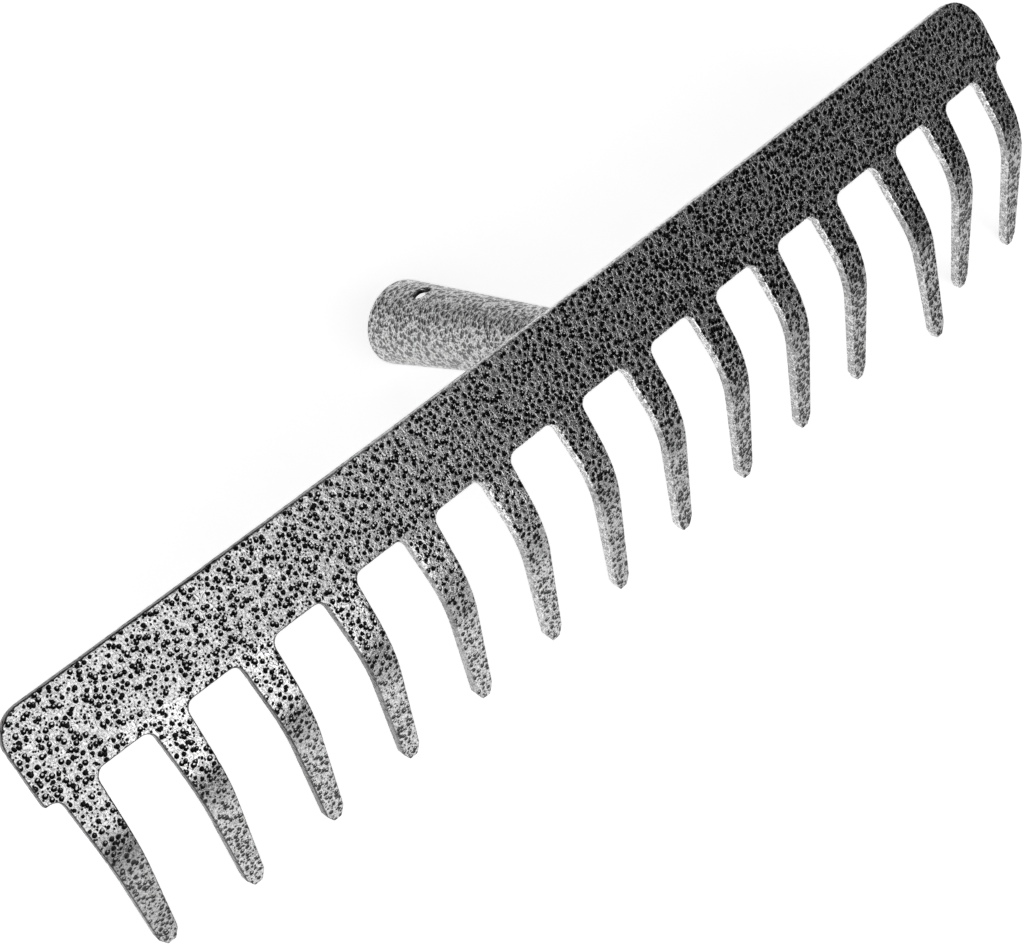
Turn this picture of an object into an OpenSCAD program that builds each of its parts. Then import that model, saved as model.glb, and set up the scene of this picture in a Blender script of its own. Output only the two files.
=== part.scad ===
// Garden rake head: a stamped steel strip with a row of bent tines, and a
// tapered handle socket welded to its back. Units are millimetres.
//
// The head is drawn as it rests on a bench: X runs along the blade, +Z is up,
// and the tip of the last tine and the socket's mouth touch z = 0.
// Each piece is first drawn in the blade's own frame: X along the blade, the
// front face at y = 0 facing -Y, and z = 0 at the bottom edge of the blade.

/* [Blade] */
// distance between neighbouring tines, centre to centre
tine_pitch = 27; // [20:0.5:35]
// number of tines
tine_count = 14; // [6:2:20]
// height of the blade above the slots
blade_h = 24.8; // [20:0.2:35]
// thickness of the steel
steel_t = 3; // [2:0.25:4]
// how far the blade runs past the centre of an end tine
blade_end = 9.2; // [8:0.1:14]
// radius of the blade's top left corner
left_corner_r = 8.5; // [2:0.5:14]
// radius of the blade's top right corner
right_corner_r = 13; // [2:0.5:14]
// how far the blade's ends sweep back from its middle
sweep_back = 7.9; // [4:0.1:12]
// radius in the corners at the head of each slot
slot_r = 3; // [1:0.25:5]

/* [Tines] */
// width of a tine at its root
tine_root_w = 10.2; // [8:0.1:14]
// width of a tine where its tip begins
tine_tip_w = 5.7; // [4:0.1:9]
// length of a tine along its front face, tip included
tine_len = 64; // [50:0.1:80]
// length of the first tine, counted from the left, which is worn shorter
worn_tine_len = 60.3; // [50:0.1:80]
// which tine is longer than the others
long_tine = 7; // [2:1:14]
// length of that tine
long_tine_len = 66; // [50:0.1:80]
// length of the bevels that narrow the tip
tip_len = 3.4; // [1:0.1:6]
// width of the tip's flat end
tip_flat_w = 2.6; // [2:0.1:3.8]
// straight length between the blade and the bend
bend_start = 13; // [8:0.1:18]
// radius of the bend on the front face
bend_r = 31; // [20:0.5:40]
// angle of the bend
bend_angle = 33.5; // [25:0.1:45]
// which tine is bent less than the others
odd_tine = 12; // [2:1:14]
// straight length of that tine
odd_bend_start = 21; // [18.5:0.1:25]
// angle of that tine's bend
odd_bend_angle = 23.5; // [10:0.1:33]
// how far that tine stands off its place in the row
odd_shift = 1.5; // [-3:0.1:3]

/* [Socket] */
// distance of the mouth's middle from the back of the blade
socket_reach = 84.6; // [60:0.1:110]
// outer diameter at the mouth
mouth_d = 26; // [22:0.1:32]
// outer diameter where it meets the blade
root_d = 18.4; // [14:0.2:22]
// wall of the socket
socket_wall = 1.5; // [1:0.1:2.5]
// length of the parallel lead inside the mouth
lead_len = 6; // [4:0.5:12]
// height of the socket's axis above the bottom edge, at the blade's back
socket_z = 11.7; // [8:0.1:16]
// angle between the socket's axis and the square to the blade
socket_tilt = 10.9; // [0:0.1:20]
// angle between the mouth and the square to the axis, its top being nearer the blade
mouth_tilt = 11.1; // [0:0.1:15]
// diameter of the hole for the handle screw
screw_d = 5.5; // [3:0.25:8]
// distance of that hole from the mouth's middle, along the axis
screw_from_mouth = 20; // [12:1:30]
// leg of the weld around the socket's root
weld_leg = 1.8; // [1:0.1:3]

/* [Hidden] */
$fn = 96;
sweep_fn = 1440;            // steps in a full turn of the blade's wide sweep
reach = 120;                // longer than anything it cuts
tuck = 0.5;                 // how far joined outlines run into one another

steel_colour = [0.42, 0.43, 0.44];
weld_colour = [0.34, 0.35, 0.36];

end_tine_x = (tine_count - 1) / 2 * tine_pitch;
half_len = end_tine_x + blade_end;

// The front face is an arc in plan, to the nearest millimetre of radius. Its
// centre is behind the blade.
sweep_r = round((half_len * half_len + sweep_back * sweep_back) / (2 * sweep_back));
half_sweep = asin(half_len / sweep_r) + 0.5;

// Place, straight length, bend angle and length of tine k. The first is tine 0.
function tine_x(k) = (k - (tine_count - 1) / 2) * tine_pitch + (k == odd_tine - 1 ? odd_shift : 0);
function start_of(k) = k == odd_tine - 1 ? odd_bend_start : bend_start;
function angle_of(k) = k == odd_tine - 1 ? odd_bend_angle : bend_angle;
function len_of(k) = k == 0 ? worn_tine_len : k == long_tine - 1 ? long_tine_len : tine_len;

// Depth behind the front face, and height, at distance s along tine k.
function bend_end(k) = start_of(k) + bend_r * angle_of(k) * PI / 180;
function turned(s, k) = min(max((s - start_of(k)) / bend_r * 180 / PI, 0), angle_of(k));
function leg(s, k) = max(s - bend_end(k), 0);
function depth(s, k) = bend_r * (1 - cos(turned(s, k))) + leg(s, k) * sin(angle_of(k));
function height(s, k) = -min(s, start_of(k)) - bend_r * sin(turned(s, k)) - leg(s, k) * cos(angle_of(k));

// The tines follow the sweep, so they close up a little behind the blade.
function turn_of(k) = asin(tine_x(k) / sweep_r);
function closed_x(x, y) = x * (1 - y / sweep_r);
function half_w(s) = (tine_root_w + (tine_tip_w - tine_root_w) * s / (tine_len - tip_len)) / 2;

// Radius of the socket's outside at distance u along its axis.
socket_len = socket_reach / cos(socket_tilt);
socket_slope = (mouth_d - root_d) / 2 / socket_len;
function socket_r(u) = root_d / 2 + socket_slope * u;

// Depth of the point at offset x from the middle of tine k's tip, where the
// tip's middle is that deep behind the front face.
function tip_corner(k, x, deep) =
    sweep_r - (sweep_r - deep) * cos(turn_of(k)) + x * sin(turn_of(k));

// The mouth's rim at its top (side 1) and bottom (side -1): its place along the
// socket's axis, its offset from the axis, and its depth and height.
function rim_u(side) = (socket_len - side * tan(mouth_tilt) * root_d / 2)
    / (1 + side * tan(mouth_tilt) * socket_slope);
function rim_offset(side) = side * socket_r(rim_u(side));
function rim_y(side) = steel_t + rim_u(side) * cos(socket_tilt) - rim_offset(side) * sin(socket_tilt);
function rim_z(side) = socket_z + rim_u(side) * sin(socket_tilt) + rim_offset(side) * cos(socket_tilt);

// Where the head touches the bench: the back edge of the last tine's tip, at its
// outer corner, and the bottom of the mouth.
last_tine = tine_count - 1;
foot_y = tip_corner(last_tine, tip_flat_w / 2, depth(tine_len, last_tine) + steel_t * cos(bend_angle));
foot_z = height(tine_len, last_tine) + steel_t * sin(bend_angle);
lean = atan2(rim_z(-1) - foot_z, rim_y(-1) - foot_y);

// The blade's frame turned to the resting one.
function rest_y(y, z) = y * cos(lean) + z * sin(lean);
function rest_z(y, z) = z * cos(lean) - y * sin(lean);

// How far the head reaches at rest: to the front, the tip that is bent least,
// and to the back, the top of the mouth.
front_y = rest_y(tip_corner(odd_tine - 1, -tip_flat_w / 2, depth(tine_len, odd_tine - 1)),
                 height(tine_len, odd_tine - 1));
back_y = rest_y(rim_y(1), rim_z(1));

module at_rest() {
    translate([0, -(front_y + back_y) / 2, -rest_z(foot_y, foot_z)])
        rotate([-lean, 0, 0])
            children();
}

// Side views of the strip, depth to the right and height up: the straight part
// that every tine has, more of it where a tine's bend starts lower, the bend, and
// the leg below it.
module straight_side() {
    translate([0, -bend_start])
        square([steel_t, bend_start + blade_h + 1]);
}

module more_straight_side(k) {
    translate([0, -start_of(k)])
        square([steel_t, start_of(k) - bend_start]);
}

module bend_side(k) {
    translate([bend_r, -start_of(k)])
        difference() {
            intersection() {
                circle(r = bend_r);
                translate([-reach, -reach])
                    square(reach);
            }
            circle(r = bend_r - steel_t);
            rotate(angle_of(k))
                translate([-reach, -reach])
                    square([2 * reach, reach]);
        }
}

module leg_side(k) {
    translate([bend_r, -start_of(k)])
        rotate(angle_of(k))
            translate([-bend_r, -(len_of(k) - bend_end(k))])
                square([steel_t, len_of(k) - bend_end(k)]);
}

// A side view swept along the blade's arc.
module swept() {
    translate([0, sweep_r, 0])
        rotate([0, 0, -half_sweep - 90])
            rotate_extrude(angle = 2 * half_sweep, $fn = sweep_fn)
                translate([sweep_r, 0])
                    mirror([1, 0])
                        children();
}

// Front outline of a tine, taking in its roots and running past its tip.
module tine_outline(k) {
    stations = len_of(k) * [0, 0.28, 0.43, 1];
    right = [for (s = stations) [closed_x(tine_x(k), depth(s, k)) + half_w(s), height(s, k)]];
    left = [for (s = stations) [closed_x(tine_x(k), depth(s, k)) - half_w(s), height(s, k)]];
    past = [closed_x(tine_x(k), depth(len_of(k), k)), height(len_of(k), k) - 1];
    polygon(concat(
        [[tine_x(k) + tine_root_w / 2, tuck]],
        right,
        [past + [half_w(len_of(k)), 0], past - [half_w(len_of(k)), 0]],
        [for (i = [len(left) - 1 : -1 : 0]) left[i]],
        [[tine_x(k) - tine_root_w / 2, tuck]]
    ));
}

// Fills the corner between a tine's edge and the bottom edge of the blade.
module slot_corner(edge_x, side) {
    translate([edge_x, 0])
        scale([side, 1])
            difference() {
                translate([-tuck, -slot_r])
                    square([slot_r + tuck, slot_r + tuck]);
                translate([slot_r, -slot_r])
                    circle(r = slot_r);
            }
}

// What a rounded top corner takes off the blade, at its left end (side -1) or right.
module top_corner(r, side) {
    translate([side * (half_len - r), blade_h - r])
        scale([side, 1])
            difference() {
                square(r + 1);
                circle(r = r);
            }
}

module blade_outline() {
    difference() {
        translate([-half_len, 0])
            square([2 * half_len, blade_h]);
        top_corner(left_corner_r, -1);
        top_corner(right_corner_r, 1);
    }
    for (k = [0 : tine_count - 1], side = [-1, 1])
        slot_corner(tine_x(k) + side * tine_root_w / 2, side);
}

// An outline drawn in X and Z, run through the whole depth of the head.
module through() {
    translate([0, reach, 0])
        rotate([90, 0, 0])
            linear_extrude(height = reach + 10)
                children();
}

// The two wedges that bevel the tip of tine k.
module tip_bevels(k) {
    shoulder_w = half_w(len_of(k) - tip_len);
    lean_in = (shoulder_w - tip_flat_w / 2) / tip_len;
    translate([0, sweep_r, 0])
        rotate([0, 0, turn_of(k)])
            translate([0, depth(len_of(k), k) - sweep_r, height(len_of(k), k)])
                rotate([angle_of(k), 0, 0])
                    for (side = [-1, 1])
                        scale([side, 1, 1])
                            translate([0, steel_t + 1, 0])
                                rotate([90, 0, 0])
                                    linear_extrude(height = steel_t + 2)
                                        polygon([
                                            [tip_flat_w / 2 - lean_in, -1],
                                            [shoulder_w + lean_in, tip_len + 1],
                                            [shoulder_w + 4, tip_len + 1],
                                            [shoulder_w + 4, -1]
                                        ]);
}

// The stamped strip: blade and tines in one piece of steel.
module tined_head() {
    color(steel_colour)
        at_rest()
            difference() {
                union() {
                    intersection() {
                        swept()
                            straight_side();
                        union() {
                            through()
                                blade_outline();
                            for (k = [0 : tine_count - 1])
                                through()
                                    tine_outline(k);
                        }
                    }
                    for (k = [0 : tine_count - 1]) {
                        if (start_of(k) > bend_start)
                            intersection() {
                                swept()
                                    more_straight_side(k);
                                through()
                                    tine_outline(k);
                            }
                        intersection() {
                            swept()
                                bend_side(k);
                            through()
                                tine_outline(k);
                        }
                        intersection() {
                            swept()
                                leg_side(k);
                            through()
                                tine_outline(k);
                        }
                    }
                }
                for (k = [0 : tine_count - 1])
                    tip_bevels(k);
            }
}

// Everything behind the back face of the blade. The sweep is so wide that the back
// is as good as flat over the width of the socket.
module behind_blade() {
    translate([-reach / 2, steel_t, -reach / 2])
        cube(reach);
}

// Puts +Z along the socket's axis, with the origin on the back of the blade.
module along_socket() {
    translate([0, steel_t, socket_z])
        rotate([socket_tilt - 90, 0, 0])
            children();
}

// Everything on the blade's side of the mouth.
module inside_mouth() {
    along_socket()
        translate([0, 0, socket_len])
            rotate([mouth_tilt, 0, 0])
                translate([-reach / 2, -reach / 2, -reach])
                    cube(reach);
}

// Solid cone that the outside of the socket follows.
module socket_cone() {
    run = socket_len + mouth_d;
    along_socket()
        translate([0, 0, -root_d / 2])
            cylinder(r1 = socket_r(-root_d / 2), r2 = socket_r(run - root_d / 2), h = run);
}

// The hollow: it tapers with the outside, then runs parallel out of the mouth.
module socket_hollow() {
    lead_from = socket_len - lead_len;
    lead_r = socket_r(lead_from) - socket_wall;
    along_socket()
        rotate_extrude()
            polygon([
                [0, -root_d / 2],
                [socket_r(-root_d / 2) - socket_wall, -root_d / 2],
                [lead_r, lead_from],
                [lead_r, socket_len + mouth_d],
                [0, socket_len + mouth_d]
            ]);
}

// The tapered tube that takes the handle.
module socket_tube() {
    color(steel_colour)
        at_rest()
            difference() {
                intersection() {
                    socket_cone();
                    behind_blade();
                    inside_mouth();
                }
                socket_hollow();
                along_socket()
                    translate([0, 0, socket_len - screw_from_mouth])
                        rotate([90, 0, 0])
                            cylinder(d = screw_d, h = mouth_d, $fn = 48);
            }
}

// The weld that runs round the socket's root on the back of the blade.
module weld_bead() {
    color(weld_colour)
        at_rest()
            difference() {
                intersection() {
                    translate([0, steel_t, socket_z])
                        rotate([-90, 0, 0])
                            rotate_extrude()
                                translate([root_d / 2, 0])
                                    circle(r = weld_leg, $fn = 32);
                    behind_blade();
                }
                socket_cone();
            }
}

tined_head();
socket_tube();
weld_bead();
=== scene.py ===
"""Garden rake head: a stamped steel blade with bent tines and a welded handle socket.

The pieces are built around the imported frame. Lengths in the functions that build them are
millimetres in the blade's own frame: X along the blade, the front face at y = 0 facing -Y,
and z = 0 at the bottom edge of the blade. to_rest() turns that into the resting frame in metres.
"""

import math

import bpy
import numpy as np
from mathutils import Matrix, Vector

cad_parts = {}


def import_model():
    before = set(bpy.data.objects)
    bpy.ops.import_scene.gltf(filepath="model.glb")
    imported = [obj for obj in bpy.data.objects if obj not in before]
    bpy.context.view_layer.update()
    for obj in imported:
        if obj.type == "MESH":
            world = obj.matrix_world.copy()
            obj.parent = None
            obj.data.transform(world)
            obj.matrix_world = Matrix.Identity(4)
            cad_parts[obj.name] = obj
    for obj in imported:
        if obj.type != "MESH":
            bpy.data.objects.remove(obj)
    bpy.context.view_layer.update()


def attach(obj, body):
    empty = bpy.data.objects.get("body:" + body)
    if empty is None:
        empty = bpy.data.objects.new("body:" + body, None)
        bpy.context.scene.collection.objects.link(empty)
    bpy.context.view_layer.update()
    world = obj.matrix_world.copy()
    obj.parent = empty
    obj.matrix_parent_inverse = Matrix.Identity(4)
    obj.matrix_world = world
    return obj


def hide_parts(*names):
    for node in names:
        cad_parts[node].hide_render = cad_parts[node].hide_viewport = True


# Blade
TINE_PITCH = 27.0
TINE_COUNT = 14
BLADE_H = 24.8
STEEL_T = 3.0
BLADE_END = 9.2
LEFT_CORNER_R = 8.5
RIGHT_CORNER_R = 13.0
SWEEP_R = 2163.0
SLOT_R = 3.0
EDGE_R = 0.45

# Tines
ROOT_W = 10.2
TIP_W = 5.7
TINE_LEN = 64.0
WORN_TINE_LEN = 60.3
LONG_TINE = 7
LONG_TINE_LEN = 66.0
TIP_LEN = 3.4
TIP_FLAT_W = 2.6
BEND_START = 13.0
BEND_R = 31.0
BEND_ANGLE = math.radians(33.5)
ODD_TINE = 12
ODD_BEND_START = 21.0
ODD_BEND_ANGLE = math.radians(23.5)
ODD_SHIFT = 1.5

# Socket
SOCKET_REACH = 84.6
ROOT_R = 9.2
MOUTH_R = 13.0
SOCKET_WALL = 1.5
LEAD_LEN = 6.0
SOCKET_Z = 11.7
SOCKET_TILT = math.radians(10.9)
MOUTH_SLOPE = math.tan(math.radians(11.1))
SOCKET_LEN = SOCKET_REACH / math.cos(SOCKET_TILT)
SOCKET_SLOPE = (MOUTH_R - ROOT_R) / SOCKET_LEN
SCREW_R = 2.75
SCREW_FROM_MOUTH = 20.0
RIM_R = 0.5
WELD_LEG = 1.8

# How far the socket and the weld run into the blade
SOCKET_TUCK = 0.4
WELD_TUCK = 0.3

# Screw hole: width of the cells remeshed round it, width of its rounded lip, and each ring of
# its wall as depth below the outside and growth in radius
HOLE_MARGIN = 1.4
HOLE_LIP = 0.3
HOLE_WALL = ((0.12, 0.09), (0.45, 0.0), (0.95, 0.0))

# Weld: how much smaller than its full leg it is between ripples, and each ripple as waves round
# the ring, height and phase
WELD_SHRINK = 0.2
WELD_RIPPLES = ((34, 0.13, 0), (13, 0.08, 1), (57, 0.05, 2))

# Resting pose
LEAN = math.radians(50.1469)
REST_Y = -24.2274
REST_Z = 61.0953

# Hammered finish: spacing of its large and small pits, and the relief of each feature
LARGE_PITCH = 1.8
SMALL_PITCH = 1.05
BOWL_RELIEF = -0.20
RIDGE_RELIEF = 0.04
RIPPLE_RELIEF = 0.08
WRINKLE_RELIEF = 0.05

# Where the finish changes, and where its painted light and shade lie (the cut edge, the tines' roots, the
# bends, the legs and their pits): places along the blade and heights above the bench, in metres
WIDER_PITS = (-0.06, 0.06)
EDGE_SHADE_AND_LIGHT = (-0.13, 0.0)
ROOT_HIGHLIGHT_START = (-0.168, -0.158)
ROOT_HIGHLIGHT_STOP = (-0.05, 0.0)
ROOT_HIGHLIGHT_BAND = (0.057, 0.061)
BEND_SHADE_BAND = (0.0445, 0.0485)
LEG_SHADE_BAND = (0.033, 0.041)
LEG_PIT_LIGHT_BAND = (0.034, 0.046)

# Mesh density. Below the height SKIRT_V the blade's columns close in on the slots' edges.
TINE_COLS = 12
TINE_ROWS = 76
SLOT_COLS = 14
FILLET_COLS = 6
BLADE_ROWS = 30
SKIRT_V = 2.5
SKIRT_ROWS = 6
ROUND_STEPS = 3
SOCKET_STEPS = 104
SOCKET_ROWS = 112
RIM_STEPS = 4
WELD_STEPS = 300
WELD_SECTION = 20

# Camera and floor
CAMERA_AZIMUTH = -50.393
CAMERA_ELEVATION = 56.735
CAMERA_ROLL = 6.878
CAMERA_PLACE = (-0.27951, -0.22796, 0.53853)
CAMERA_LENS = 76.55
FLOOR_HALF = 12.0


def to_rest(points):
    """Blade frame in millimetres to the resting frame in metres."""
    x, y, z = points[..., 0], points[..., 1], points[..., 2]
    return np.stack(
        [
            x,
            y * math.cos(LEAN) + z * math.sin(LEAN) + REST_Y,
            z * math.cos(LEAN) - y * math.sin(LEAN) + REST_Z,
        ],
        axis=-1,
    ) / 1000


def make_object(name, points, faces):
    mesh = bpy.data.meshes.new(name)
    mesh.from_pydata(to_rest(np.asarray(points)).tolist(), [], faces)
    mesh.validate()
    mesh.update()
    mesh.polygons.foreach_set("use_smooth", [True] * len(mesh.polygons))
    piece = bpy.data.objects.new(name, mesh)
    bpy.context.scene.collection.objects.link(piece)
    return piece


class Draft:
    """Points and faces of a piece that is being built."""

    def __init__(self):
        self.points = []
        self.faces = []

    def add(self, point):
        self.points.append(point)
        return len(self.points) - 1

    def bridge(self, near, far):
        """Quads between two closed rings of as many points."""
        for i in range(len(near)):
            j = (i + 1) % len(near)
            self.faces.append((near[i], near[j], far[j], far[i]))


# ---------------------------------------------------------------- the stamped strip


def bend_of(v, odd):
    """Depth and height of the front face, and the turn there, at developed height v."""
    s = np.maximum(-v, 0)
    start = np.where(odd, ODD_BEND_START, BEND_START)
    angle = np.where(odd, ODD_BEND_ANGLE, BEND_ANGLE)
    turn = np.clip((s - start) / BEND_R, 0, angle)
    leg = np.maximum(s - start - BEND_R * angle, 0)
    depth = BEND_R * (1 - np.cos(turn)) + leg * np.sin(angle)
    height = -BEND_R * np.sin(turn) - leg * np.cos(angle) - np.minimum(s, start)
    return depth, np.where(v > 0, v, height), turn


def strip_points(flat, depth_in, odd):
    """The developed points (x, v) at a depth in the sheet, bent and swept."""
    depth, height, turn = bend_of(flat[:, 1], odd)
    y = depth + depth_in * np.cos(turn)
    z = height + depth_in * np.sin(turn)
    x = flat[:, 0]
    return np.stack([x, SWEEP_R - np.sqrt((SWEEP_R - y) ** 2 - x * x), z], axis=-1)


def tine_x(k):
    return (k - (TINE_COUNT - 1) / 2) * TINE_PITCH + (ODD_SHIFT if k == ODD_TINE - 1 else 0)


def tine_length(k):
    return {0: WORN_TINE_LEN, LONG_TINE - 1: LONG_TINE_LEN}.get(k, TINE_LEN)


def half_w(s):
    return (ROOT_W + (TIP_W - ROOT_W) * s / (TINE_LEN - TIP_LEN)) / 2


def inset_half_w(s, length):
    """Half width of a tine's flat face, inside its rounded edge, bevelled tip included."""
    slope = (half_w(length - TIP_LEN) - TIP_FLAT_W / 2) / TIP_LEN
    bevel = TIP_FLAT_W / 2 + slope * (length - s) - EDGE_R * math.hypot(1, slope)
    return min(half_w(s) - EDGE_R, bevel)


def blade_columns():
    """(x, bottom v, tine or None) of every column of the blade's grid, left to right."""
    arc_r = SLOT_R + EDGE_R
    half_root = half_w(SLOT_R)
    end_x = (TINE_COUNT - 1) / 2 * TINE_PITCH + BLADE_END - EDGE_R

    def fillet(centre, side):
        """Columns of the rounded corner between a tine and a slot."""
        turns = [math.pi / 2 * i / FILLET_COLS for i in range(FILLET_COLS + 1)]
        return [(centre - side * arc_r * math.cos(a), -SLOT_R + arc_r * math.sin(a), None) for a in turns]

    def shoulder(corner_r):
        """Columns where a rounded end of the blade is steep, from the end inwards."""
        return [end_x - (corner_r - EDGE_R) * (1 - math.cos(math.radians(a))) for a in (0, 5, 10, 15)]

    columns = [(-x, EDGE_R, None) for x in shoulder(LEFT_CORNER_R)]
    for k in range(TINE_COUNT):
        left = tine_x(k) - half_root - SLOT_R
        right = tine_x(k) + half_root + SLOT_R
        columns += fillet(left, -1)[::-1][:-1]
        for i in range(TINE_COLS + 1):
            x = tine_x(k) + (half_root - EDGE_R) * (2 * i / TINE_COLS - 1)
            columns.append((x, -SLOT_R, k))
        columns += fillet(right, 1)[1:]
        if k < TINE_COUNT - 1:
            flat = tine_x(k + 1) - half_root - SLOT_R - right
            columns += [(right + flat * i / SLOT_COLS, EDGE_R, None) for i in range(1, SLOT_COLS)]
    columns += [(x, EDGE_R, None) for x in shoulder(RIGHT_CORNER_R)[::-1]]
    return columns


def blade_top(x):
    """Height of the blade's flat face at x, inside its rounded edge."""
    corner_r = LEFT_CORNER_R if x < 0 else RIGHT_CORNER_R
    centre = (TINE_COUNT - 1) / 2 * TINE_PITCH + BLADE_END - corner_r
    r = corner_r - EDGE_R
    over = max(abs(x) - centre, 0)
    return BLADE_H - corner_r + math.sqrt(max(r * r - over * over, 0))


def flat_sheet():
    """The flat face: developed points, quads, the loop round them, and each point's tine or -1."""
    points, quads, owner = [], [], []
    columns = blade_columns()
    rows = BLADE_ROWS + SKIRT_ROWS
    for x, bottom, k in columns:
        top = blade_top(x)
        for j in range(BLADE_ROWS + 1):
            points.append((x, top + (SKIRT_V - top) * j / BLADE_ROWS))
        for j in range(1, SKIRT_ROWS + 1):
            points.append((x, SKIRT_V + (bottom - SKIRT_V) * j / SKIRT_ROWS))
        owner += [-1] * (rows + 1)
    for c in range(len(columns) - 1):
        for j in range(rows):
            a = c * (rows + 1) + j
            quads.append((a, a + 1, a + rows + 2, a + rows + 1))

    bottom_of = [c * (rows + 1) + rows for c in range(len(columns))]
    loop_bottom = []
    c = 0
    while c < len(columns):
        k = columns[c][2]
        if k is None:
            loop_bottom.append(bottom_of[c])
            c += 1
            continue
        above = bottom_of[c : c + TINE_COLS + 1]
        left, right = [above[0]], [above[-1]]
        for j in range(1, TINE_ROWS + 1):
            s = SLOT_R + (tine_length(k) - EDGE_R - SLOT_R) * j / TINE_ROWS
            depth, _, _ = bend_of(np.array(-s), k == ODD_TINE - 1)
            centre = tine_x(k) * (1 - float(depth) / SWEEP_R)
            row = []
            for i in range(TINE_COLS + 1):
                row.append(len(points))
                points.append((centre + inset_half_w(s, tine_length(k)) * (2 * i / TINE_COLS - 1), -s))
                owner.append(k)
            for i in range(TINE_COLS):
                quads.append((above[i], row[i], row[i + 1], above[i + 1]))
            above = row
            left.append(row[0])
            right.append(row[-1])
        loop_bottom += left + above[1:-1] + right[::-1]
        c += TINE_COLS + 1

    right_end = [(len(columns) - 1) * (rows + 1) + j for j in range(rows, 0, -1)]
    top = [c * (rows + 1) for c in range(len(columns) - 1, 0, -1)]
    left_end = list(range(0, rows))
    loop = loop_bottom + right_end[1:] + top + left_end
    return np.array(points), quads, loop, np.array(owner)


def outward_normals(flat, loop):
    """Unit normals, away from the sheet, at the points of a loop that runs anticlockwise."""
    p = flat[loop]
    before = p - np.roll(p, 1, axis=0)
    after = np.roll(p, -1, axis=0) - p
    before /= np.linalg.norm(before, axis=1)[:, None]
    after /= np.linalg.norm(after, axis=1)[:, None]
    along = before + after
    along /= np.linalg.norm(along, axis=1)[:, None]
    return np.stack([along[:, 1], -along[:, 0]], axis=-1)


def edge_section():
    """(distance outwards, depth) of each ring between the front face and the back face."""
    turns = [math.pi / 2 * i / ROUND_STEPS for i in range(1, ROUND_STEPS + 1)]
    front = [(EDGE_R * math.sin(a), EDGE_R * (1 - math.cos(a))) for a in turns]
    middle = [(EDGE_R, STEEL_T / 2)]
    return front + middle + [(out, STEEL_T - depth) for out, depth in front[::-1]]


def build_head():
    flat, quads, loop, owner = flat_sheet()
    odd = owner == ODD_TINE - 1
    normals = outward_normals(flat, loop)
    count = len(flat)
    points = [strip_points(flat, 0.0, odd), strip_points(flat, STEEL_T, odd)]
    faces = [tuple(q) for q in quads]
    faces += [tuple(i + count for i in q[::-1]) for q in quads]
    rings = [list(loop)]
    offset = 2 * count
    for out, depth in edge_section():
        points.append(strip_points(flat[loop] + normals * out, depth, odd[loop]))
        rings.append(list(range(offset, offset + len(loop))))
        offset += len(loop)
    rings.append([i + count for i in loop])
    n = len(loop)
    for near, far in zip(rings[:-1], rings[1:]):
        for i in range(n):
            j = (i + 1) % n
            faces.append((near[i], far[i], far[j], near[j]))
    piece = make_object("rake_blade_and_tines", np.concatenate(points), faces)
    # marks the cut edge for the enamel's painted light and shade there
    on_edge = piece.data.attributes.new("on_edge", "FLOAT", "POINT")
    on_edge.data.foreach_set("value", [0.0] * (2 * count) + [1.0] * (offset - 2 * count))
    return piece


# ---------------------------------------------------------------- the socket


def socket_point(u, turn, r):
    return (
        r * math.cos(turn),
        STEEL_T + u * math.cos(SOCKET_TILT) - r * math.sin(turn) * math.sin(SOCKET_TILT),
        SOCKET_Z + u * math.sin(SOCKET_TILT) + r * math.sin(turn) * math.cos(SOCKET_TILT),
    )


def outer_r(u):
    return ROOT_R + SOCKET_SLOPE * u


def inner_r(u):
    return outer_r(min(u, SOCKET_LEN - LEAD_LEN)) - SOCKET_WALL


def socket_skin(radius_of, shares, steps):
    """Rows of (u, turn) around a skin, from the blade's back (share 0) to the mouth (share 1)."""
    rows = [[] for _ in shares]
    for i in range(steps):
        turn = 2 * math.pi * i / steps
        # where the skin ends depends on its radius there, so both ends are found by repetition
        near, far = 0.0, SOCKET_LEN
        for _ in range(4):
            near = radius_of(near) * math.sin(turn) * math.tan(SOCKET_TILT)
            far = SOCKET_LEN - radius_of(far) * math.sin(turn) * MOUTH_SLOPE
        for row, share in zip(rows, shares):
            row.append((near + (far - near) * share, turn))
    return rows


def hole_surround(draft, edge, rows, ids, radius_of, hole_r, count):
    """Rings of points on one skin, from the cells round the screw hole in to the hole."""
    hole_u = SOCKET_LEN - SCREW_FROM_MOUTH
    rings = [[ids[r][c] for r, c in edge]]
    for step in range(1, count + 1):
        share = step / count
        ring = []
        for r, c in edge:
            u, turn = rows[r][c]
            x = radius_of(u) * math.cos(turn)
            angle = math.atan2(x, u - hole_u)
            u += (hole_u + hole_r * math.cos(angle) - u) * share
            x += (hole_r * math.sin(angle) - x) * share
            ring.append(draft.add(socket_point(u, math.pi / 2 - math.asin(x / radius_of(u)), radius_of(u))))
        rings.append(ring)
    return rings


def hole_wall(draft, edge, rows):
    """Rings of points down the screw hole, the first of them wider for the rounded lip."""
    hole_u = SOCKET_LEN - SCREW_FROM_MOUTH
    rings = []
    for drop, grow in HOLE_WALL:
        ring = []
        for r, c in edge:
            u, turn = rows[r][c]
            angle = math.atan2(outer_r(u) * math.cos(turn), u - hole_u)
            u = hole_u + (SCREW_R + grow) * math.cos(angle)
            x = (SCREW_R + grow) * math.sin(angle)
            radius = outer_r(u) - drop
            ring.append(draft.add(socket_point(u, math.pi / 2 - math.asin(x / radius), radius)))
        rings.append(ring)
    return rings


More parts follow.
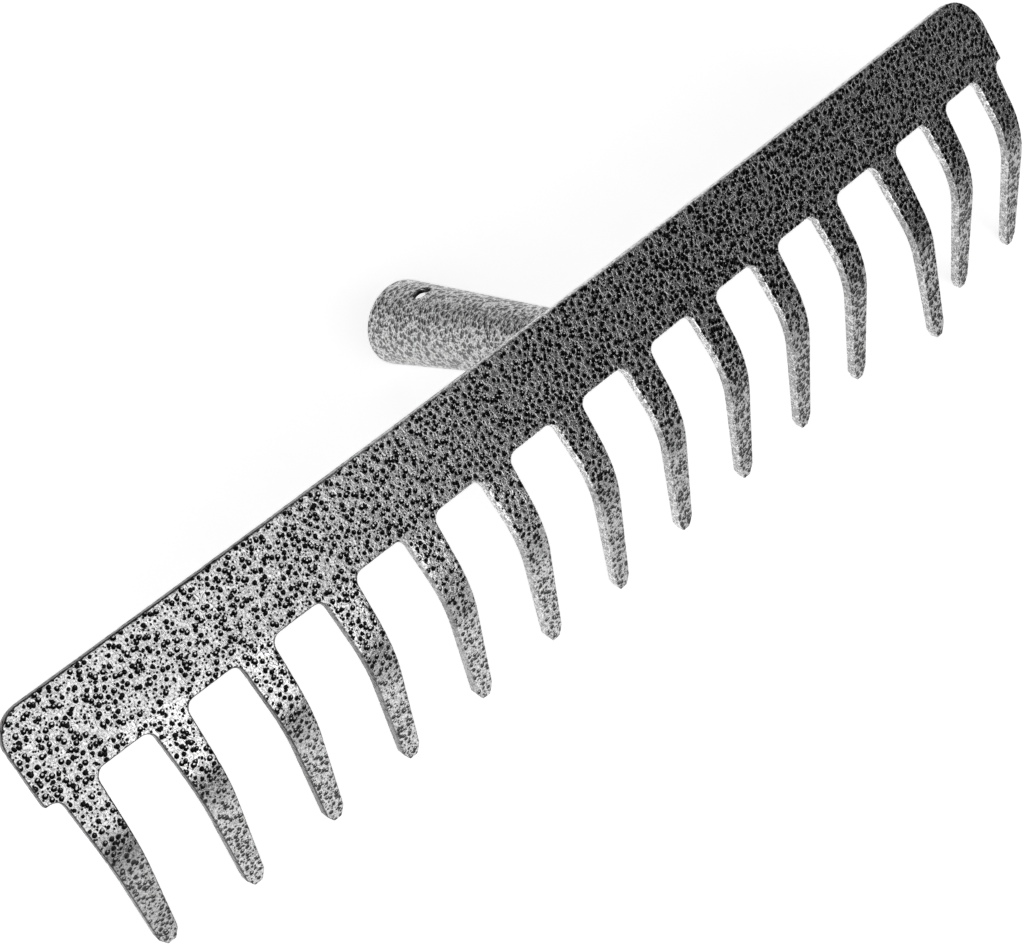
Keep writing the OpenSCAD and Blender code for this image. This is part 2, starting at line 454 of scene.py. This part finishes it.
def mouth_rim(draft, last):
    """Rings of points over the rounded rim, from the outer skin's last row to the inner one's."""
    turns = [math.pi / 2 * i / RIM_STEPS for i in range(1, RIM_STEPS + 1)]
    outer = [(RIM_R * math.sin(a), RIM_R * (1 - math.cos(a))) for a in turns]
    sections = [(out, depth, outer_r) for out, depth in outer]
    sections += [(out, -depth, inner_r) for out, depth in outer[::-1]]
    rings = []
    for out, depth, radius_of in sections:
        skin = socket_skin(radius_of, [last + out / SOCKET_LEN], SOCKET_STEPS)[0]
        rings.append([draft.add(socket_point(u, turn, radius_of(u) - depth)) for u, turn in skin])
    return rings


def build_socket():
    draft = Draft()
    first = -SOCKET_TUCK / SOCKET_LEN
    last = 1 - RIM_R / SOCKET_LEN
    shares = [first + (last - first) * i / SOCKET_ROWS for i in range(SOCKET_ROWS + 1)]
    outer = socket_skin(outer_r, shares, SOCKET_STEPS)
    inner = socket_skin(inner_r, shares, SOCKET_STEPS)
    outer_ids = [[draft.add(socket_point(u, turn, outer_r(u))) for u, turn in row] for row in outer]
    inner_ids = [[draft.add(socket_point(u, turn, inner_r(u))) for u, turn in row] for row in inner]

    # the block of cells, r0 to r1 along and c0 to c1 around, that the screw hole takes out
    top = SOCKET_STEPS // 4
    hole_u = SOCKET_LEN - SCREW_FROM_MOUTH
    half_block = SCREW_R + HOLE_MARGIN
    hole_rows = [i for i, row in enumerate(outer) if abs(row[top][0] - hole_u) < half_block]
    r0, r1 = hole_rows[0], hole_rows[-1]
    half = math.ceil(half_block / (2 * math.pi * outer_r(hole_u) / SOCKET_STEPS))
    c0, c1 = top - half, top + half

    for r in range(SOCKET_ROWS):
        for c in range(SOCKET_STEPS):
            if r0 <= r < r1 and c0 <= c < c1:
                continue
            d = (c + 1) % SOCKET_STEPS
            near, far = outer_ids[r], outer_ids[r + 1]
            draft.faces.append((near[c], near[d], far[d], far[c]))
            near, far = inner_ids[r], inner_ids[r + 1]
            draft.faces.append((near[c], far[c], far[d], near[d]))

    edge = [(r0, c) for c in range(c0, c1)]
    edge += [(r, c1) for r in range(r0, r1)]
    edge += [(r1, c) for c in range(c1, c0, -1)]
    edge += [(r, c0) for r in range(r1, r0, -1)]
    hole = hole_surround(draft, edge, outer, outer_ids, outer_r, SCREW_R + HOLE_LIP, 4)
    inside = hole_surround(draft, edge, inner, inner_ids, inner_r, SCREW_R, 3)
    hole += hole_wall(draft, edge, outer) + inside[::-1]
    rim = [outer_ids[-1]] + mouth_rim(draft, last) + [inner_ids[-1]]
    for rings in (hole, rim):
        for near, far in zip(rings[:-1], rings[1:]):
            draft.bridge(near, far)

    # the flat ring that is hidden in the blade
    draft.bridge(inner_ids[0], outer_ids[0])
    return make_object("handle_socket", draft.points, [face[::-1] for face in draft.faces])


def build_weld():
    draft = Draft()
    rings = []
    for i in range(WELD_STEPS):
        turn = 2 * math.pi * i / WELD_STEPS
        ripple = sum(height * math.sin(waves * turn + phase) for waves, height, phase in WELD_RIPPLES)
        leg = WELD_LEG - WELD_SHRINK + ripple
        ring = []
        for j in range(WELD_SECTION):
            a = 2 * math.pi * j / WELD_SECTION
            r = ROOT_R + leg * math.cos(a)
            y = STEEL_T + max(leg * math.sin(a), -WELD_TUCK)
            ring.append(draft.add((r * math.cos(turn), y, SOCKET_Z + r * math.sin(turn))))
        rings.append(ring)
    for i in range(WELD_STEPS):
        draft.bridge(rings[i], rings[(i + 1) % WELD_STEPS])
    return make_object("weld_bead_ring", draft.points, draft.faces)


# ---------------------------------------------------------------- the hammered enamel


class Nodes:
    """Short calls that add nodes to one tree, in a shader or in geometry nodes."""

    def __init__(self, tree):
        self.tree = tree

    def add(self, kind, **values):
        node = self.tree.nodes.new(kind)
        for key, value in values.items():
            setattr(node, key, value)
        return node

    def link(self, source, socket):
        self.tree.links.new(source, socket)

    def put(self, value, socket):
        if isinstance(value, bpy.types.NodeSocket):
            self.link(value, socket)
        else:
            socket.default_value = value

    def math(self, operation, a, b=0.0, clamp=False):
        node = self.add("ShaderNodeMath", operation=operation, use_clamp=clamp)
        self.put(a, node.inputs[0])
        self.put(b, node.inputs[1])
        return node.outputs[0]

    def vector(self, operation, a, b):
        node = self.add("ShaderNodeVectorMath", operation=operation)
        self.put(a, node.inputs[0])
        self.put(b, node.inputs[3] if operation == "SCALE" else node.inputs[1])
        return node.outputs[0]

    def ramp(self, value, low, high, to_low=0.0, to_high=1.0):
        """Smoothly maps low..high to to_low..to_high, and holds the ends."""
        node = self.add("ShaderNodeMapRange", interpolation_type="SMOOTHSTEP")
        self.put(value, node.inputs["Value"])
        for name, v in (("From Min", low), ("From Max", high), ("To Min", to_low), ("To Max", to_high)):
            node.inputs[name].default_value = v
        return node.outputs["Result"]

    def noise(self, vector, size):
        node = self.add("ShaderNodeTexNoise")
        self.link(vector, node.inputs["Vector"])
        node.inputs["Scale"].default_value = 1 / size
        node.inputs["Detail"].default_value = 2.0
        return node

    def axes(self, vector):
        """The X, Y and Z of a vector."""
        node = self.add("ShaderNodeSeparateXYZ")
        self.link(vector, node.inputs[0])
        return node.outputs

    def cells(self, vector, size, feature="F1"):
        node = self.add("ShaderNodeTexVoronoi", feature=feature)
        self.link(vector, node.inputs["Vector"])
        node.inputs["Scale"].default_value = 1 / size
        node.inputs["Randomness"].default_value = 0.85
        return node.outputs["Distance"]


def hammer_pattern(nodes, position):
    """The hammered finish round a position in metres.

    Gives the pits' depth, 0 on the smooth enamel and 1 at the bottom of a pit, the distances
    from the middles of the large and the small pits, and the position in millimetres with and
    without the wander that makes the pits irregular.
    """
    mm = nodes.vector("SCALE", position, 1000.0)
    wander = nodes.noise(mm, 2.2).outputs["Color"]
    shift = nodes.vector("SCALE", nodes.vector("SUBTRACT", wander, (0.5, 0.5, 0.5)), 0.6)
    warped = nodes.vector("ADD", mm, shift)
    wider = nodes.ramp(nodes.axes(position)[0], *WIDER_PITS, 0.0, 0.07)
    large = nodes.math("SUBTRACT", nodes.cells(warped, LARGE_PITCH), wider)
    small = nodes.math("SUBTRACT", nodes.cells(warped, SMALL_PITCH), wider)
    small_bowl = nodes.ramp(small, 0.38, 0.12, 0.0, 0.6)
    bowl = nodes.math("MAXIMUM", nodes.ramp(large, 0.48, 0.14), small_bowl)
    return bowl, large, small, warped, mm


def pit_modifier(piece, depth_mm):
    """Presses the pits into the mesh itself."""
    tree = bpy.data.node_groups.new("hammer_pits_" + piece.name, "GeometryNodeTree")
    tree.interface.new_socket("Geometry", in_out="INPUT", socket_type="NodeSocketGeometry")
    tree.interface.new_socket("Geometry", in_out="OUTPUT", socket_type="NodeSocketGeometry")
    nodes = Nodes(tree)
    start = nodes.add("NodeGroupInput")
    end = nodes.add("NodeGroupOutput")
    place = nodes.add("GeometryNodeSetPosition")
    position = nodes.add("GeometryNodeInputPosition").outputs[0]
    normal = nodes.add("GeometryNodeInputNormal").outputs[0]
    bowl = hammer_pattern(nodes, position)[0]
    offset = nodes.vector("SCALE", normal, nodes.math("MULTIPLY", bowl, -depth_mm / 1000))
    nodes.link(start.outputs[0], place.inputs["Geometry"])
    nodes.link(offset, place.inputs["Offset"])
    nodes.link(place.outputs[0], end.inputs[0])
    piece.modifiers.new("hammer_pits", "NODES").node_group = tree


def enamel_grey(nodes, place, on_edge, ridge, wrinkle, smooth, rim, bend_shade_share, leg_shade_share):
    """Grey of the enamel between the pits, with painted shade in the bends and on the legs, a painted
    highlight at the left tines' roots, and painted shade and light on the cut edge.
    """
    along, _, above_bench = place
    grey = nodes.ramp(wrinkle, 0.38, 0.58, smooth * 0.6, smooth * 1.2)
    grey = nodes.math("ADD", grey, nodes.math("MULTIPLY", ridge, rim - smooth))

    # painted shade: darker in the bends and on the legs
    bend_shade = nodes.ramp(above_bench, *BEND_SHADE_BAND, bend_shade_share, 1.0)
    leg_shade = nodes.ramp(above_bench, *LEG_SHADE_BAND, leg_shade_share / bend_shade_share, 1.0)
    grey = nodes.math("MULTIPLY", grey, nodes.math("MULTIPLY", bend_shade, leg_shade))

    # painted highlight: brighter at the roots of the left tines, but for the first
    root = nodes.ramp(above_bench, *ROOT_HIGHLIGHT_BAND, 0.3, 0.0)
    root = nodes.math("MULTIPLY", root, nodes.ramp(along, *ROOT_HIGHLIGHT_STOP, 1.0, 0.0))
    root = nodes.math("MULTIPLY", root, nodes.ramp(along, *ROOT_HIGHLIGHT_START))
    grey = nodes.math("MULTIPLY", grey, nodes.math("ADD", root, 1.0))

    # painted shade on the sheet's cut edge on the left and painted light on it on the right
    edge_shade_and_light = nodes.math("MULTIPLY", on_edge, nodes.ramp(along, *EDGE_SHADE_AND_LIGHT, -0.85, 0.5))
    return nodes.math("MULTIPLY", grey, nodes.math("ADD", edge_shade_and_light, 1.0))


def pit_painted_shade(nodes, large, small, warped, on_edge):
    """Painted shade in the pits: 1 where a pit is painted black, 0 between the pits, and less on the cut
    edge, where the pits are painted paler as painted light.
    """
    # a large pit is a black ring of painted shade round a painted glint that lies off its middle, where the
    # smooth grey is left
    aside = nodes.vector("ADD", warped, (-0.22, -0.17, -0.14))
    glint = nodes.ramp(nodes.cells(aside, LARGE_PITCH), 0.19, 0.14)
    ring = nodes.math("SUBTRACT", nodes.ramp(large, 0.43, 0.39), glint, clamp=True)
    dark = nodes.math("MAXIMUM", ring, nodes.ramp(small, 0.32, 0.27))
    return nodes.math("MULTIPLY", dark, nodes.ramp(on_edge, 0.0, 1.0, 1.0, 0.35))


def enamel_relief(nodes, bowl, ridge, ripple, wrinkle):
    """Height of the enamel for the bump, in millimetres."""
    height = nodes.math("MULTIPLY", bowl, BOWL_RELIEF)
    height = nodes.math("ADD", height, nodes.math("MULTIPLY", ridge, RIDGE_RELIEF))
    height = nodes.math("ADD", height, nodes.math("MULTIPLY", ripple, RIPPLE_RELIEF))
    return nodes.math("ADD", height, nodes.math("MULTIPLY", wrinkle, WRINKLE_RELIEF))


def hammered_enamel(name, smooth, rim, pit, leg_pit, bend_shade_share=1.0, leg_shade_share=1.0):
    """Grey metallic enamel with pits painted black as shade round painted glints, and painted light and
    shade on its grey.

    smooth, rim and pit are linear greys, pit being the grey of the pits' painted shade, leg_pit is the
    pits' paler grey on the tines' legs as painted light, and the shares are what is left of the smooth
    grey under the painted shade in the bends and on the legs.
    """
    material = bpy.data.materials.new(name)
    material.use_nodes = True
    tree = material.node_tree
    tree.nodes.clear()
    nodes = Nodes(tree)
    out = nodes.add("ShaderNodeOutputMaterial")
    shader = nodes.add("ShaderNodeBsdfPrincipled")
    shader.inputs["Roughness"].default_value = 0.2
    shader.inputs["Metallic"].default_value = 0.92
    shader.inputs["Specular IOR Level"].default_value = 0.6

    position = nodes.add("ShaderNodeTexCoord").outputs["Object"]
    place = nodes.axes(position)
    on_edge = nodes.add("ShaderNodeAttribute", attribute_name="on_edge").outputs["Fac"]
    bowl, large, small, warped, mm = hammer_pattern(nodes, position)
    ridge = nodes.ramp(nodes.cells(warped, LARGE_PITCH, "DISTANCE_TO_EDGE"), 0.08, 0.02)
    wrinkle = nodes.noise(mm, 0.55).outputs["Fac"]
    ripple = nodes.noise(mm, 1.6).outputs["Fac"]

    # the pits' painted shade is mixed over the grey that carries the painted light and shade
    blend = nodes.add("ShaderNodeMix", data_type="FLOAT")
    nodes.link(pit_painted_shade(nodes, large, small, warped, on_edge), blend.inputs[0])
    grey = enamel_grey(nodes, place, on_edge, ridge, wrinkle, smooth, rim, bend_shade_share, leg_shade_share)
    nodes.link(grey, blend.inputs[2])
    # grey of the pits' painted shade, painted paler on the legs as painted light
    nodes.link(nodes.ramp(place[2], *LEG_PIT_LIGHT_BAND, leg_pit, pit), blend.inputs[3])
    colour = nodes.add("ShaderNodeCombineColor")
    for channel in colour.inputs[:3]:
        nodes.link(blend.outputs[0], channel)
    nodes.link(colour.outputs[0], shader.inputs["Base Color"])

    bump = nodes.add("ShaderNodeBump")
    bump.inputs["Strength"].default_value = 1.0
    bump.inputs["Distance"].default_value = 0.001
    nodes.link(enamel_relief(nodes, bowl, ridge, ripple, wrinkle), bump.inputs["Height"])
    nodes.link(bump.outputs[0], shader.inputs["Normal"])
    nodes.link(shader.outputs[0], out.inputs["Surface"])
    return material


# pit and leg_pit are the greys of the pits' painted shade, and the shares leave the smooth grey under
# painted shade in the bends and on the legs
def head_enamel(name):
    return hammered_enamel(
        name, smooth=0.46, rim=0.58, pit=0.004, leg_pit=0.035, bend_shade_share=0.6, leg_shade_share=0.84
    )


# a paler copy of the head's enamel, its greys set as painted light on the tube
def socket_enamel(name):
    return hammered_enamel(name, smooth=0.54, rim=0.60, pit=0.15, leg_pit=0.15)


def weld_enamel(name):
    return hammered_enamel(name, smooth=0.36, rim=0.48, pit=0.05, leg_pit=0.05)


# ---------------------------------------------------------------- the studio


def plain_material(name, grey, glow):
    material = bpy.data.materials.new(name)
    material.use_nodes = True
    shader = material.node_tree.nodes["Principled BSDF"]
    shader.inputs["Base Color"].default_value = (grey, grey, grey, 1)
    shader.inputs["Roughness"].default_value = 0.9
    shader.inputs["Specular IOR Level"].default_value = 0.0
    shader.inputs["Emission Color"].default_value = (1, 1, 1, 1)
    shader.inputs["Emission Strength"].default_value = glow
    return material


def build_floor():
    mesh = bpy.data.meshes.new("floor")
    corners = [(x * FLOOR_HALF, y * FLOOR_HALF, 0) for x, y in ((-1, -1), (1, -1), (1, 1), (-1, 1))]
    mesh.from_pydata(corners, [], [(0, 1, 2, 3)])
    floor = bpy.data.objects.new("floor", mesh)
    floor.data.materials.append(plain_material("pale_floor", grey=0.8, glow=0.72))
    bpy.context.scene.collection.objects.link(floor)


def direction(azimuth, elevation):
    """Unit vector at an azimuth from -Y towards +X, in degrees."""
    a, e = math.radians(azimuth), math.radians(elevation)
    return Vector((math.sin(a) * math.cos(e), -math.cos(a) * math.cos(e), math.sin(e)))


def soft_box(name, azimuth, elevation, distance, width, height, radiance):
    """A rectangular light that faces the object, with a plain radiance."""
    light = bpy.data.lights.new(name, "AREA")
    light.shape = "RECTANGLE"
    light.size = width
    light.size_y = height
    light.energy = radiance * width * height * math.pi
    piece = bpy.data.objects.new(name, light)
    towards = direction(azimuth, elevation)
    piece.location = towards * distance
    piece.rotation_euler = towards.to_track_quat("Z", "Y").to_euler()
    bpy.context.scene.collection.objects.link(piece)


def build_lights():
    world = bpy.data.worlds.new("studio")
    bpy.context.scene.world = world
    world.use_nodes = True
    background = world.node_tree.nodes["Background"]
    background.inputs["Color"].default_value = (0.10, 0.10, 0.10, 1)
    soft_box("left_front_box", azimuth=-28, elevation=38, distance=2.0, width=3.0, height=1.7, radiance=1.7)
    soft_box("right_back_box", azimuth=150, elevation=45, distance=2.2, width=1.6, height=1.2, radiance=0.9)
    soft_box("low_left_strip", azimuth=-57, elevation=6, distance=1.2, width=0.9, height=0.22, radiance=3.0)


def build_camera():
    scene = bpy.context.scene
    camera = bpy.data.objects.new("camera", bpy.data.cameras.new("camera"))
    camera.data.sensor_width = 36
    camera.data.sensor_fit = "HORIZONTAL"
    camera.data.lens = CAMERA_LENS
    camera.data.clip_start = 0.01
    azimuth = math.radians(CAMERA_AZIMUTH)
    roll = math.radians(CAMERA_ROLL)
    back = direction(CAMERA_AZIMUTH, CAMERA_ELEVATION)
    level = Vector((math.cos(azimuth), math.sin(azimuth), 0))
    rise = back.cross(level)
    right = math.cos(roll) * level + math.sin(roll) * rise
    up = math.cos(roll) * rise - math.sin(roll) * level
    turned = Matrix((right, up, back)).transposed().to_4x4()
    camera.matrix_world = Matrix.Translation(CAMERA_PLACE) @ turned
    scene.collection.objects.link(camera)
    scene.camera = camera
    scene.view_settings.view_transform = "Standard"


def main():
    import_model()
    build_camera()
    build_floor()
    build_lights()
    # each piece with its node, slot and material, and the depth in mm that its pits are pressed to
    pieces = (
        (build_head(), "tined_head", "head_enamel", head_enamel, 0.08),
        (build_socket(), "socket_tube", "socket_enamel", socket_enamel, 0.08),
        (build_weld(), "weld_bead", "weld_enamel", weld_enamel, 0.05),
    )
    for piece, node, slot, enamel, depth_mm in pieces:
        piece.data.materials.append(enamel(slot))
        pit_modifier(piece, depth_mm)
        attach(piece, "root")
        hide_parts(node)


main()
